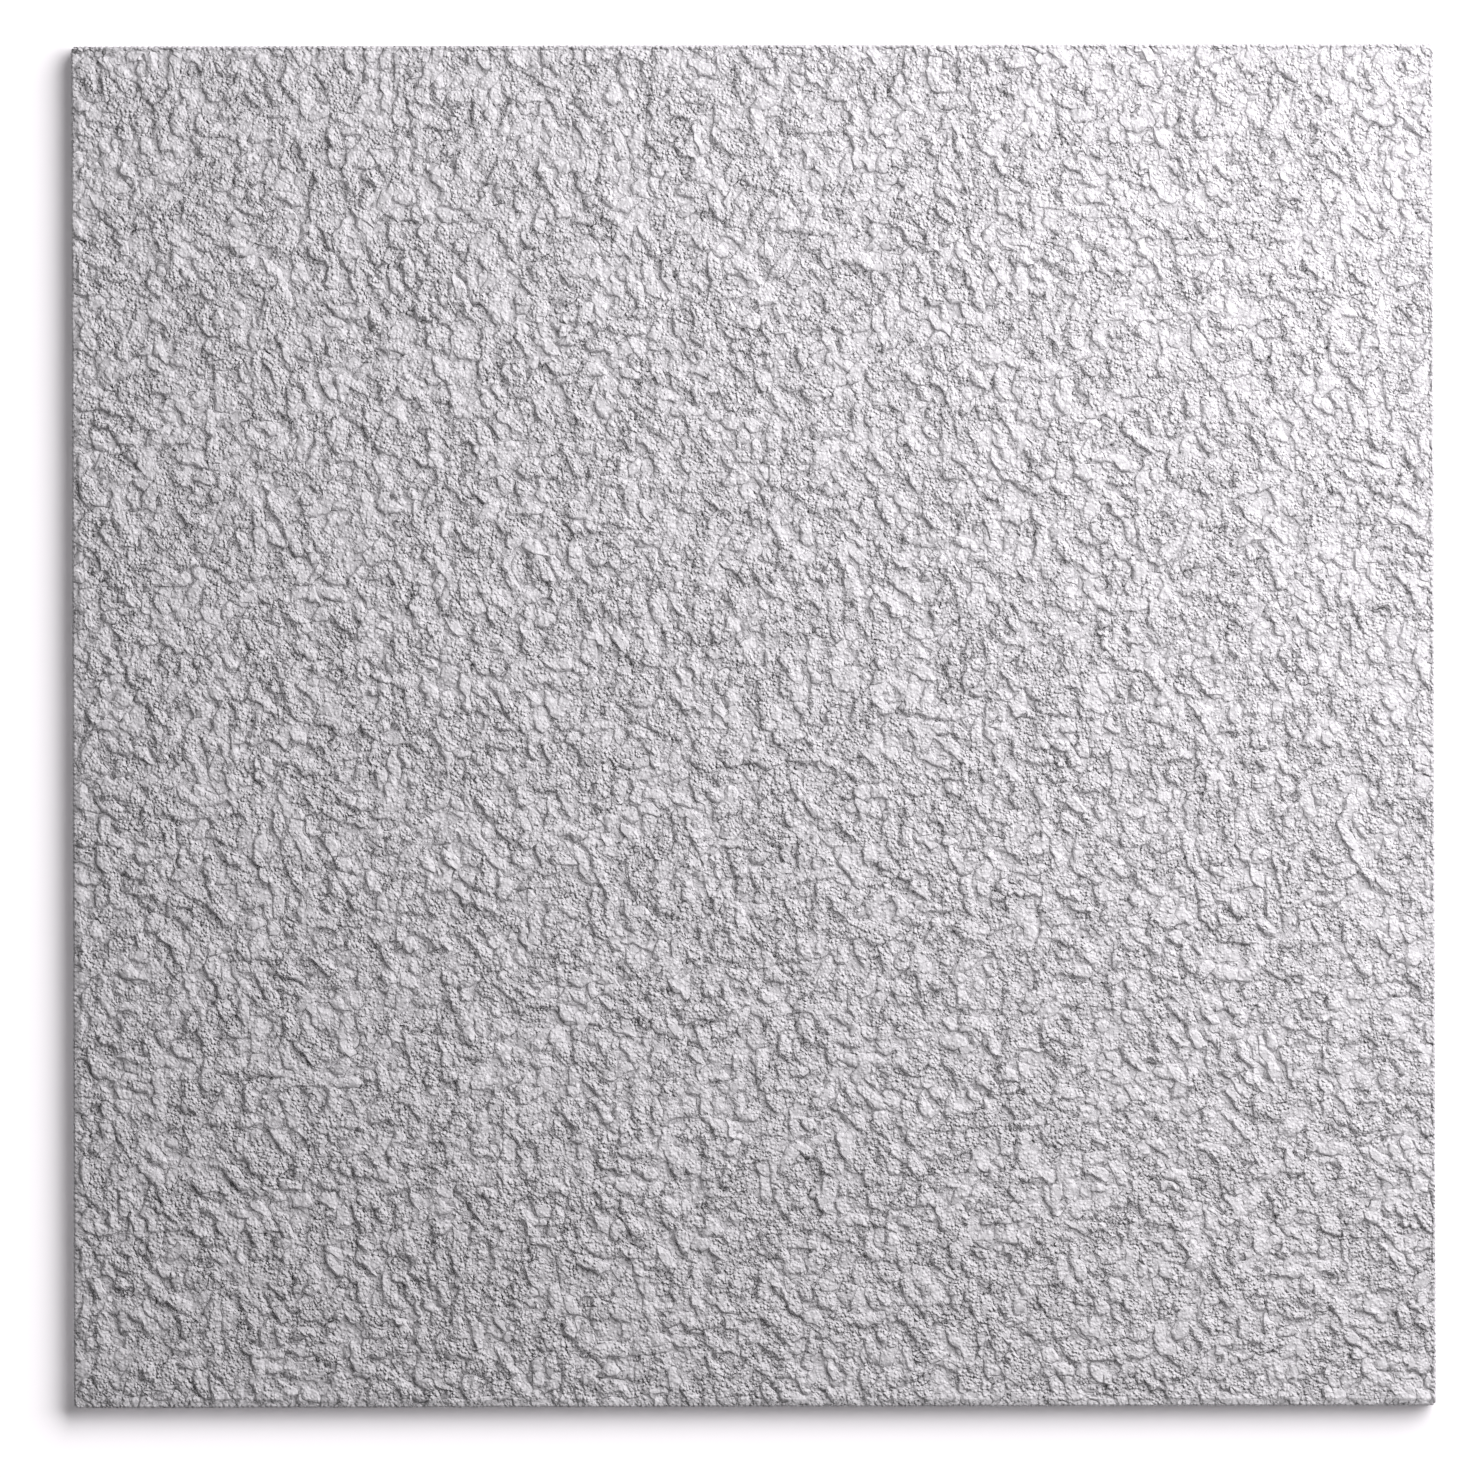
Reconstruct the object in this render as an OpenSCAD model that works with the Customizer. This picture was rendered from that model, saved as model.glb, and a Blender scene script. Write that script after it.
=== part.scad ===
// Ceiling tile moulded in one piece from polystyrene bead foam, with a rough-cast face.
// It lies on its flat back with the rough face up. The origin is the middle of the back.
// The face is a close scatter of flat-topped oval dabs, with sharp creases between them.

/* [Tile] */
// Length of the tile, along X
tile_length = 500; // [300:5:540]
// Width of the tile, along Y
tile_width = 500; // [300:5:540]
// Thickness from the back to the top of the tallest dab
tile_thickness = 10; // [6:0.5:25]
// Radius of the four upright corners
corner_radius = 2; // [1:0.5:8]
// Bevel round the rim, measured at the level of the bare ground
rim_bevel = 0.8; // [0.4:0.1:2]

/* [Rough-cast face] */
// Height of the tallest dab over the bare ground
relief_depth = 2; // [0.5:0.1:2.5]
// Spacing of the dabs
dab_pitch = 15; // [14:0.5:24]
// How far a dab strays from its even place, as a share of the spacing
dab_stray = 0.25; // [0:0.05:0.3]
// Length of the shortest dab
dab_length_min = 12; // [8:0.5:16]
// Length of the longest dab
dab_length_max = 24; // [18:0.5:32]
// Width of the narrowest dab
dab_width_min = 7; // [5:0.5:9]
// Width of the widest dab
dab_width_max = 12; // [10:0.5:18]
// Height of the flattest dab, as a share of the tallest
dab_low = 0.4; // [0.1:0.05:0.9]
// Share of the places that stay bare
dab_gaps = 0.06; // [0:0.02:0.4]
// How flat the top of a dab is: 2 is a round dome, more is a flatter top
dab_flatness = 4; // [2:0.5:8]
// Width of the border where the dabs sink to the bare ground
rim_fade = 5; // [1:0.5:20]
// Which scatter of dabs is made
scatter = 1; // [1:1:50]

/* [Hidden] */
// White, with a trace of blue
foam_colour = [0.9, 0.9, 0.91];
// Facets round a full turn of an upright corner
corner_facets = 32;
// Level of the bare ground between the dabs
ground_z = tile_thickness - relief_depth;
// The block that is trimmed to the tile reaches this far under the back
underside = 2;
// The outline reaches this far over the tallest dab
headroom = 1;
// A dab is given a ridge if its width falls short of its length by this share or more
ridge_slender = 0.35;
// How far a ridge may run out from the middle, as a share of the way to the creases
ridge_share = 0.6;
// Length of a ray that meets nothing
never = 1e6;
// Degrees that a column, a row, a draw and a scatter add to the angle of a chance's sine.
// No whole number of one makes up for another, so that neighbours get unlike chances.
chance_turns = [127.1, 311.7, 74.7, 19.3];
// The sine is magnified this much, and its whole part is dropped
chance_gain = 43758.5453;

// The dabs stand on rows of a triangular lattice that reaches past the tile on every side.
// In steps of the lattice, the columns and the rows reach over the tile by a little more than
// the dabs can stray. Odd rows stand half a step to the right, which takes one more column.
row_step = dab_pitch * sqrt(3) / 2;
lattice_margin = 0.1;
spare_rows = lattice_margin + 2 * dab_stray;
spare_columns = 1 + spare_rows;
columns = ceil(tile_length / dab_pitch + spare_columns);
rows = ceil(tile_width / row_step + spare_rows);

// A repeatable chance from 0 to 1 for the dab in column i of row j
function chance(i, j, which) =
    let (wave = sin(chance_turns * [i, j, which, scatter]) * chance_gain)
    wave - floor(wave);

// A value between two limits, by chance
function between(low, high, luck) = low + (high - low) * luck;

// A smooth rise from 0 to 1
function ease(t) = let (s = min(1, max(0, t))) s * s * (3 - 2 * s);

// How much of its height a dab keeps at a place near the rim
function rim_share(p) =
    ease((tile_length / 2 - abs(p.x)) / rim_fade) * ease((tile_width / 2 - abs(p.y)) / rim_fade);

// Middle of the dab in column i of row j
function dab_place(i, j) = [
    (i - columns / 2 + (j % 2) / 2 - 1 / 4 + between(-dab_stray, dab_stray, chance(i, j, 0))) * dab_pitch,
    (j - rows / 2) * row_step + between(-dab_stray, dab_stray, chance(i, j, 1)) * dab_pitch
];

// One dab: its middle, the direction of its length, its half length, half width and height
function dab(i, j) = [
    dab_place(i, j),
    let (turn = 180 * chance(i, j, 2)) [cos(turn), sin(turn)],
    between(dab_length_min, dab_length_max, chance(i, j, 3)) / 2,
    between(dab_width_min, dab_width_max, chance(i, j, 4)) / 2,
    chance(i, j, 6) < dab_gaps ? 0 : between(dab_low, 1, chance(i, j, 5))
];

// How far out a place lies from a dab's middle: 1 is on the rim of its oval
function reach(d, p) =
    let (away = p - d[0]) norm([away * d[1] / d[2], cross(d[1], away) / d[3]]);

// Height of one dab over the ground at a place: full in the middle, none outside its oval
function dab_height(d, p) =
    let (r = reach(d, p)) r < 1 ? d[4] * sqrt(1 - pow(r, dab_flatness)) : 0;

dabs = [for (j = [0:rows]) [for (i = [0:columns]) dab(i, j)]];
tallest = max([for (row = dabs) for (d = row) d[4] * rim_share(d[0])]);

// A place on the face, raised by a share of the tallest dab's height
function raised(p, height) =
    [p.x, p.y, ground_z + relief_depth * min(1, height * rim_share(p) / tallest)];

// The three neighbouring dabs round each lattice triangle, two triangles to a step of a strip.
// Kind 0 holds two dabs of the strip's lower row, and kind 1 holds two of its upper row.
function three_dabs(i, s, kind) =
    kind == 0
        ? [dabs[s][i], dabs[s][i + 1], dabs[s + 1][i + s % 2]]
        : [dabs[s][i + 1 - s % 2], dabs[s + 1][i + 1], dabs[s + 1][i]];

// The pit in a lattice triangle lies where its three ovals meet: the further an oval reaches
// towards the middle of the triangle, the further it pushes the pit away.
function pit(three) =
    let (
        middle = (three[0][0] + three[1][0] + three[2][0]) / 3,
        pulls = [for (d = three) reach(d, middle) / norm(middle - d[0])],
        place = pulls * [for (d = three) d[0]] / (pulls * [1, 1, 1])
    )
    raised(place, max([for (d = three) dab_height(d, place)]));

pits = [
    for (s = [0:rows - 1])
        for (i = [0:columns - 1])
            for (kind = [0, 1])
                pit(three_dabs(i, s, kind))
];

// Place of a pit in the list of pits, or -1 past the lattice's border
function pit_at(i, s, kind) =
    i < 0 || i >= columns || s < 0 || s >= rows ? -1 : 2 * (s * columns + i) + kind;

// The six pits round the dab in column i of row j, against the clock from the right
function ring(i, j) =
    let (shift = j % 2)
    [
        pit_at(i, j, 0), pit_at(i - 1 + shift, j, 1), pit_at(i - 1, j, 0),
        pit_at(i - 1, j - 1, 1), pit_at(i - 1 + shift, j - 1, 0), pit_at(i, j - 1, 1)
    ];

// How far a ray from a place gets before it crosses the line from pit a to pit b
function ray_length(place, direction, a, b) =
    let (
        start = [a.x, a.y],
        line = [b.x, b.y] - start,
        closing = cross(line, -direction)
    )
    closing > 0 ? cross(line, place - start) / closing : never;

// The level ridge of a long dab, from end to end, or the single top of a round one.
// Each end lies part of the way from the middle to the creases.
function ridge(i, j) =
    let (
        d = dabs[j][i],
        around = ring(i, j),
        slender = 1 - d[3] / d[2]
    )
    min(around) < 0 || slender < ridge_slender
        ? [raised(d[0], d[4])]
        : [
            for (way = [-1, 1])
                let (
                    room = min([
                        for (k = [0:5])
                            ray_length(d[0], way * d[1], pits[around[k]], pits[around[(k + 1) % 6]])
                    ])
                )
                raised(d[0] + way * d[1] * min(d[2] - d[3], room * ridge_share), d[4])
        ];

ridges = [for (j = [0:rows]) [for (i = [0:columns]) ridge(i, j)]];
// Two places in the list of points for each dab. A round dab uses only the first.
function ridge_at(i, j, end) = len(pits) + 2 * (j * (columns + 1) + i) + end;
ridge_points = [for (row = ridges) for (ends = row) for (end = [0, 1]) ends[min(end, len(ends) - 1)]];

// The end of a dab's ridge that faces the line between two pits
function facing(i, j, a, b) =
    len(ridges[j][i]) < 2 || a < 0 || b < 0
        ? ridge_at(i, j, 0)
        : let (
            side = (pits[a] + pits[b]) / 2,
            away = [side.x, side.y] - dabs[j][i][0]
        )
        ridge_at(i, j, away * dabs[j][i][1] > 0 ? 1 : 0);

// The facets of each dab: one to each stretch of crease, and one to each side of a ridge
dab_facets = [
    for (j = [0:rows])
        for (i = [0:columns])
            let (around = ring(i, j))
            for (k = [0:5])
                let (
                    a = around[k],
                    b = around[(k + 1) % 6],
                    c = around[(k + 2) % 6],
                    here = facing(i, j, a, b),
                    next = facing(i, j, b, c)
                )
                each [
                    if (a >= 0 && b >= 0) [here, b, a],
                    if (here != next) [b, here, next]
                ]
];

// The outermost dabs, once round against the clock, each with the pit inside the way to the next
border = concat(
    [for (i = [0:columns - 1]) [ridge_at(i, 0, 0), pit_at(i, 0, 0)]],
    [for (s = [0:rows - 1]) [ridge_at(columns, s, 0), pit_at(columns - 1, s, 1 - s % 2)]],
    [for (i = [columns:-1:1]) [ridge_at(i, rows, 0), pit_at(i - 1, rows - 1, 1)]],
    [for (s = [rows - 1:-1:0]) [ridge_at(0, s + 1, 0), pit_at(0, s, s % 2)]]
);
face_points = concat(pits, ridge_points);
border_count = len(border);
foot_points = [for (b = border) [face_points[b[0]].x, face_points[b[0]].y, -underside]];
foot_start = len(face_points);
foot_middle = foot_start + border_count;

border_facets = [
    for (n = [0:border_count - 1])
        let (
            next = (n + 1) % border_count,
            here_top = border[n][0],
            next_top = border[next][0],
            here_foot = foot_start + n,
            next_foot = foot_start + next
        )
        each [
            [here_top, border[n][1], next_top],
            [here_top, next_top, here_foot],
            [next_top, next_foot, here_foot],
            [here_foot, next_foot, foot_middle]
        ]
];

// The rough-cast face on a block that is larger than the tile
module rough_block() {
    polyhedron(
        points = concat(face_points, foot_points, [[0, 0, -underside]]),
        faces = concat(dab_facets, border_facets)
    );
}

// An upright plate of the tile's outline with rounded corners, drawn in by an inset
module outline_plate(inset, height) {
    middle_x = tile_length / 2 - inset - corner_radius;
    middle_y = tile_width / 2 - inset - corner_radius;
    for (x = [-middle_x, middle_x], y = [-middle_y, middle_y])
        translate([x, y, 0])
            cylinder(h = height, r = corner_radius, $fn = corner_facets);
}

// The tile's outline as a solid, with a bevel that runs on up past the tallest dab
module outline_body() {
    bevel_start = ground_z - rim_bevel;
    bevel_rise = rim_bevel + relief_depth + headroom;
    hull() {
        outline_plate(0, bevel_start);
        outline_plate(bevel_rise, bevel_start + bevel_rise);
    }
}

module ceiling_tile() {
    color(foam_colour)
        intersection() {
            rough_block();
            outline_body();
        }
}

ceiling_tile();
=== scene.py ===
"""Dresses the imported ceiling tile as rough-cast bead foam under a soft studio light.

The tile lies on its back with the rough face up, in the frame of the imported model. Lengths are in
millimetres while a shape is worked out, and in metres once they reach a mesh, a material or a lamp.
"""

import logging
import math
from dataclasses import dataclass
from enum import Enum
from typing import NamedTuple

import bpy
import numpy as np
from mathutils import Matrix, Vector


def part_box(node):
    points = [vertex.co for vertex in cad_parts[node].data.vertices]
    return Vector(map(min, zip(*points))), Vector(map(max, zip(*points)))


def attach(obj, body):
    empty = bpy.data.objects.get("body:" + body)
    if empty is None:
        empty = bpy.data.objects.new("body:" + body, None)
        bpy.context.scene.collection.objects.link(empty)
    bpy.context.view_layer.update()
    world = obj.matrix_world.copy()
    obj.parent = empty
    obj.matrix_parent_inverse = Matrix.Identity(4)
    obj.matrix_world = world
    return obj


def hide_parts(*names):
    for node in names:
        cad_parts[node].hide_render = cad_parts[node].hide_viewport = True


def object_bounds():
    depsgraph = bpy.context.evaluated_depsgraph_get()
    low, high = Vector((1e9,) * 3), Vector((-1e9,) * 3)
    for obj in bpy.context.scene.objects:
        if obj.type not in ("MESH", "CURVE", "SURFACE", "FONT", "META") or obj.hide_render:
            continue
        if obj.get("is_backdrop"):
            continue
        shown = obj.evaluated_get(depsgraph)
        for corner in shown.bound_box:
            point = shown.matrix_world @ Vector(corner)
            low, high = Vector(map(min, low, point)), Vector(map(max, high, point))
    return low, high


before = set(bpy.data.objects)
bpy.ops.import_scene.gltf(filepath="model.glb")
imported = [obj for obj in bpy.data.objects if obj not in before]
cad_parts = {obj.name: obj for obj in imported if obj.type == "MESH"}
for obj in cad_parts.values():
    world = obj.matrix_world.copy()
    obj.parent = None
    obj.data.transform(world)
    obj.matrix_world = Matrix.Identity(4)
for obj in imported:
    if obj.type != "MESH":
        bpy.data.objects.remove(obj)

MM = 0.001
BODY = "root"
CAD_NODE = "ceiling_tile"
PIECE = "rough_cast_tile"
# Vector attributes that hold the reach and the height of three small dabs each
DAB_ATTRIBUTES = (("dab_reach_a", "dab_height_a"), ("dab_reach_b", "dab_height_b"))
# How flat the tops of the small dabs are: 2 makes round domes, and more makes flatter tops
SMALL_FLATNESS = 3.3
# What the top of a small dab gains in a millimetre along X and along Y, which makes its lower left
# side, away from the light, the steeper one
SLANT = (-0.075, -0.06)
# How wide the neighbourhoods are in which dabs share a direction
DRIFT_WAVE = 80.0
# Steps by which a lattice is longer than the tile, besides what its dabs can stray
LATTICE_MARGIN = 0.1
# Independent draws that make one dab
DRAWS_PER_DAB = 11
# A bent and swollen dab stays within so many half lengths of its middle
BENT_REACH = 1.5
# Degrees that a column, a row, a draw and the whole lattice add to the angle of a chance's sine
CHANCE_TURNS = (127.1, 311.7, 74.7, 19.3)
# The sine is magnified this much, and its whole part is dropped
CHANCE_GAIN = 43758.5453
# Shortest and longest wavelength in a ripple, as shares of its named one
RIPPLE_SPAN = (0.7, 1.5)
# A ripple seldom passes so many times its size
RIPPLE_REACH = 2.0
# So many plain means over a square come close to a round blur
ROUND_PASSES = 3

Socket = bpy.types.NodeSocket
log = logging.getLogger("ceiling_tile")


class Domain(Enum):
    """What an attribute has a value for."""

    POINT = "POINT"
    CORNER = "CORNER"


def chance(column: np.ndarray | int, row: np.ndarray | int, draw: int) -> np.ndarray:
    """Repeatable luck from 0 to 1 for each place of a lattice.

    It is the fraction that is left of a steep sine of the place and the draw, in degrees.

    Args:
        column: Column of each place.
        row: Row of each place.
        draw: Number of the draw, so that one place has many independent draws.

    Returns:
        The luck of each place, in the shape of the places.
    """
    by_column, by_row, by_draw, start = CHANCE_TURNS
    angle = by_column * column + by_row * row + by_draw * draw + start
    wave = np.sin(np.radians(angle)) * CHANCE_GAIN
    return wave - np.floor(wave)


def ease(t: np.ndarray) -> np.ndarray:
    """Smooth rise from 0 to 1: three squares less two cubes of t, held inside 0 and 1."""
    s = np.clip(t, 0.0, 1.0)
    return s * s * (3.0 - 2.0 * s)


def ripple(
    x: np.ndarray, y: np.ndarray | float, wave: float, draw: int, count: int = 8
) -> np.ndarray:
    """Gentle random field of about unit size.

    It is a sum of sines, each in a direction, at a wavelength and from a phase of its own.

    Args:
        x: Places along X.
        y: Places along Y.
        wave: The named wavelength, round which those of the sines are spread.
        draw: First number of the draws.
        count: How many sines are added.

    Returns:
        The field at each place.
    """
    shortest, longest = RIPPLE_SPAN
    total = np.zeros(np.broadcast(x, y).shape)
    for n in range(count):
        angle = 2 * math.pi * float(chance(n, draw, 1))
        length = wave * (shortest + (longest - shortest) * float(chance(n, draw, 2)))
        phase = 2 * math.pi * float(chance(n, draw, 3))
        way = x * math.cos(angle) + y * math.sin(angle)
        total += np.sin(2 * math.pi * way / length + phase)
    return total / math.sqrt(count / 2)


def box_mean(values: np.ndarray, reach: int, passes: int = 1) -> np.ndarray:
    """Raster after plain means over a square.

    A mean along one axis is the difference of two running sums, divided by the square's width.

    Args:
        values: The raster.
        reach: How many samples the square reaches each way.
        passes: How many times the mean is taken.

    Returns:
        The smoothed raster.
    """
    width = 2 * reach + 1
    for _ in range(passes):
        for axis in (0, 1):
            margins = [(0, 0), (0, 0)]
            margins[axis] = (reach + 1, reach)
            sums = np.cumsum(np.pad(values, margins, mode="edge"), axis=axis)
            sums = np.moveaxis(sums, axis, 0)
            values = np.moveaxis((sums[width:] - sums[:-width]) / width, 0, axis)
    return values


class Dab(NamedTuple):
    """One oval dab of a scatter, with its turn in radians."""

    x: float
    y: float
    turn: float
    half_length: float
    half_width: float
    high: float
    bend: float
    pear: float
    lean_x: float
    lean_y: float

    def crest(self, across: np.ndarray, along: np.ndarray) -> np.ndarray:
        """Level of the leaning top: the height, and the lean for each millimetre off the middle."""
        return self.high + self.lean_x * (across - self.x) + self.lean_y * (along - self.y)

    def reach(self, across: np.ndarray, along: np.ndarray) -> np.ndarray:
        """How far out places lie: 0 in the dab's middle and 1 on the rim of its oval.

        The places are turned to the dab's length. What lies across it is then bent by the square of
        the place along it, and shrunk towards one end.

        Args:
            across: Places along X.
            along: Places along Y.

        Returns:
            The reach of each place.
        """
        cos, sin = np.cos(self.turn), np.sin(self.turn)
        u = (across - self.x) * cos + (along - self.y) * sin
        v = (along - self.y) * cos - (across - self.x) * sin
        u = u / self.half_length
        v = (v + self.bend * u * u * self.half_length) / (1 + self.pear * np.clip(u, -1, 1))
        return np.hypot(u, v / self.half_width)


@dataclass(frozen=True)
class Scatter:
    """Oval dabs on the rows of a triangular lattice, each strayed from its even place.

    Lengths, widths and heights go from the least to the greatest. A share of the places stays bare.
    Bend and pear say how far an oval may be bent like a banana or swollen at one end. Lean is how
    much of the height a top may gain in a millimetre, in any direction. Tilt is what every top
    gains along X and Y, as far as that lies across the dab. Drift is how far the dabs of a
    neighbourhood share a direction: 0 gives each dab a direction of its own.
    """

    pitch: float
    stray: float
    length: tuple[float, float]
    width: tuple[float, float]
    height: tuple[float, float]
    bare: float
    first_draw: int
    bend: float = 0.0
    pear: float = 0.0
    lean: float = 0.0
    tilt: tuple[float, float] = (0.0, 0.0)
    drift: float = 0.0

    def dabs(self, tile: tuple[float, float]) -> list[Dab]:
        """Every dab that can touch the tile.

        The lattice reaches past the tile by a margin and by what the dabs can stray. Odd rows stand
        half a step to the right, which takes one more column, and all rows stand a quarter step to
        the left, which brings the lattice to the middle.

        Args:
            tile: Length of the tile along X and width along Y.

        Returns:
            The dabs, row by row.
        """
        row_step = self.pitch * math.sqrt(3) / 2
        spare = LATTICE_MARGIN + 2 * self.stray
        columns = math.ceil(tile[0] / self.pitch + 1 + spare)
        rows = math.ceil(tile[1] / row_step + spare)
        i, j = (v.ravel() for v in np.meshgrid(np.arange(columns + 1), np.arange(rows + 1)))
        luck = [chance(i, j, self.first_draw + n) for n in range(DRAWS_PER_DAB)]
        right, up, turned, long, wide, tall, kept, bent, swollen, leaning, bearing = luck
        x = i - columns / 2 + (j % 2) / 2 - 1 / 4 + self.stray * (2 * right - 1)
        x = x * self.pitch
        y = (j - rows / 2) * row_step + self.stray * (2 * up - 1) * self.pitch
        flow = self.drift * ripple(x, y, DRIFT_WAVE, self.first_draw)
        turn = math.pi * ((1 - self.drift) * turned + flow)
        tilt = self.tilt[1] * np.cos(turn) - self.tilt[0] * np.sin(turn)
        values = (
            x,
            y,
            turn,
            np.interp(long, (0, 1), self.length) / 2,
            np.interp(wide, (0, 1), self.width) / 2,
            np.interp(tall, (0, 1), self.height),
            self.bend * (2 * bent - 1),
            self.pear * (2 * swollen - 1),
            self.lean * leaning * np.cos(2 * math.pi * bearing) - tilt * np.sin(turn),
            self.lean * leaning * np.sin(2 * math.pi * bearing) + tilt * np.cos(turn),
        )
        stands = kept >= self.bare
        return [Dab(*dab) for dab in zip(*(value[stands] for value in values))]


BROAD_DABS = Scatter(
    pitch=15.0,
    stray=0.25,
    length=(12.0, 24.0),
    width=(7.0, 12.0),
    height=(0.4, 1.0),
    bare=0.06,
    first_draw=0,
)
LONG_DABS = Scatter(
    pitch=7.0,
    stray=0.4,
    length=(8.0, 16.0),
    width=(3.8, 5.2),
    height=(0.55, 0.86),
    bare=0.15,
    first_draw=10,
    bend=0.3,
    pear=0.2,
    lean=0.02,
    tilt=SLANT,
    drift=0.15,
)
SHORT_DABS = Scatter(
    pitch=6.4,
    stray=0.4,
    length=(5.0, 9.0),
    width=(3.4, 4.6),
    height=(0.28, 0.52),
    bare=0.15,
    first_draw=60,
    bend=0.3,
    pear=0.2,
    lean=0.02,
    tilt=SLANT,
)
CRUMBS = Scatter(
    pitch=4.6,
    stray=0.5,
    length=(3.2, 5.6),
    width=(2.4, 3.6),
    height=(0.05, 0.25),
    bare=0.2,
    first_draw=80,
    bend=0.3,
    pear=0.2,
    lean=0.02,
    tilt=SLANT,
)


@dataclass
class Relief:
    """The rough-cast face over the bare ground, on a fine raster.

    Broad dabs, which the solid has too, make soft swells. Small worm-like dabs lie on them with
    crisp edges, and of those that overlap, the highest shows. Towards the face's border all of it
    fades to the bare ground. A share of the raster's highest places is left out when the broad
    dabs are brought to full height. Warp is how far the outlines of dabs are pushed out of true.
    """

    face: tuple[float, float]
    tile: tuple[float, float]
    count: int
    depth: float
    fade: float
    broad: Scatter = BROAD_DABS
    broad_flatness: float = 4.0
    broad_blur: int = 5
    broad_percent: float = 99.9
    broad_share: float = 0.08
    small: tuple[Scatter, ...] = (LONG_DABS, SHORT_DABS, CRUMBS)
    small_share: float = 0.98
    warp: float = 0.5
    warp_wave: float = 5.0
    warp_draws: tuple[int, int] = (5, 6)

    def __post_init__(self) -> None:
        """Works out the raster's places and all of its fields."""
        self.x, self.y = (np.linspace(-side / 2, side / 2, self.count) for side in self.face)
        x, y = self.x[None, :], self.y[:, None]
        self.across, self.along = (
            place + self.warp * ripple(x, y, self.warp_wave, draw)
            for place, draw in zip((x, y), self.warp_draws)
        )
        broad, _ = self.press(self.broad.dabs(self.tile), self.broad_flatness)
        broad = box_mean(broad, self.broad_blur, ROUND_PASSES)
        broad = np.minimum(broad / np.percentile(broad, self.broad_percent), 1.0)
        self.small_dabs = [dab for scatter in self.small for dab in scatter.dabs(self.tile)]
        small, self.owner = self.press(self.small_dabs, SMALL_FLATNESS)
        self.swell = self.depth * self.broad_share * broad
        self.lift = self.depth * self.small_share
        rise = ease((self.face[0] / 2 - np.abs(x)) / self.fade)
        rise = rise * ease((self.face[1] / 2 - np.abs(y)) / self.fade)
        self.height = rise * (self.swell + self.lift * small)

    def press(self, dabs: list[Dab], flatness: float) -> tuple[np.ndarray, np.ndarray]:
        """Lays dabs on the face, where the highest shows.

        A dab's height is its crest times the root of 1 less its reach to the power of the flatness.

        Args:
            dabs: The dabs.
            flatness: 2 makes round domes, and more makes flatter tops.

        Returns:
            The height at each place, from 0 to 1, and the number of the dab that shows, or -1.
        """
        top = np.zeros((self.count, self.count))
        owner = np.full(top.shape, -1)
        for number, dab in enumerate(dabs):
            margin = BENT_REACH * dab.half_length + RIPPLE_REACH * self.warp
            rows = slice(*np.searchsorted(self.y, (dab.y - margin, dab.y + margin)))
            place = rows, slice(*np.searchsorted(self.x, (dab.x - margin, dab.x + margin)))
            where = self.across[place], self.along[place]
            fall = dab.reach(*where) ** flatness
            shape = np.clip(dab.crest(*where), 0, 1) * np.sqrt(np.clip(1 - fall, 0, None))
            higher = shape > top[place]
            top[place][higher] = shape[higher]
            owner[place][higher] = number
        return top, owner

    def at(self, values: np.ndarray, x: np.ndarray, y: np.ndarray) -> np.ndarray:
        """Looks up a field of this raster.

        Args:
            values: The field.
            x: Places along X.
            y: Places along Y.

        Returns:
            The field's values at the samples nearest to the places.
        """
        columns = np.rint((x - self.x[0]) / (self.x[1] - self.x[0])).astype(int)
        rows = np.rint((y - self.y[0]) / (self.y[1] - self.y[0])).astype(int)
        return values[np.clip(rows, 0, self.count - 1), np.clip(columns, 0, self.count - 1)]


class Nodes:
    """Adds linked nodes to the tree of a material or a world."""

    def __init__(self, owner: bpy.types.Material | bpy.types.World) -> None:
        """Turns nodes on for the owner and clears its tree.

        Args:
            owner: The material or the world that gets the nodes.
        """
        owner.use_nodes = True
        self.tree = owner.node_tree
        self.tree.nodes.clear()

    def add(self, kind: str, inputs: dict | None = None, **settings: str | bool) -> bpy.types.Node:
        """Adds one node.

        Args:
            kind: Type of the node, without its first word.
            inputs: Sockets by name or number, each with a value or with the output that feeds it.
            **settings: Properties of the node.

        Returns:
            The node.
        """
        node = self.tree.nodes.new("ShaderNode" + kind)
        for name, value in settings.items():
            setattr(node, name, value)
        for name, value in (inputs or {}).items():
            if isinstance(value, Socket):
                self.tree.links.new(value, node.inputs[name])
            else:
                node.inputs[name].default_value = value
        return node

    def math(self, operation: str, *values: float | Socket, clamp: bool = False) -> Socket:
        """Result of one sum on values or outputs."""
        inputs = dict(enumerate(values))
        return self.add("Math", inputs, operation=operation, use_clamp=clamp).outputs[0]

    def vector(self, operation: str, *values: tuple | Socket) -> Socket:
        """Result of one sum on vectors."""
        return self.add("VectorMath", dict(enumerate(values)), operation=operation).outputs[0]

    def scaled(self, colour: tuple[float, float, float], share: float | Socket) -> Socket:
        """A colour times a share."""
        return self.add("VectorMath", {0: colour, "Scale": share}, operation="SCALE").outputs[0]

    def parts(self, attribute: str) -> list[Socket]:
        """The three numbers of a vector attribute."""
        vector = self.add("Attribute", attribute_name=attribute).outputs["Vector"]
        return list(self.add("SeparateXYZ", {0: vector}).outputs)


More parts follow.
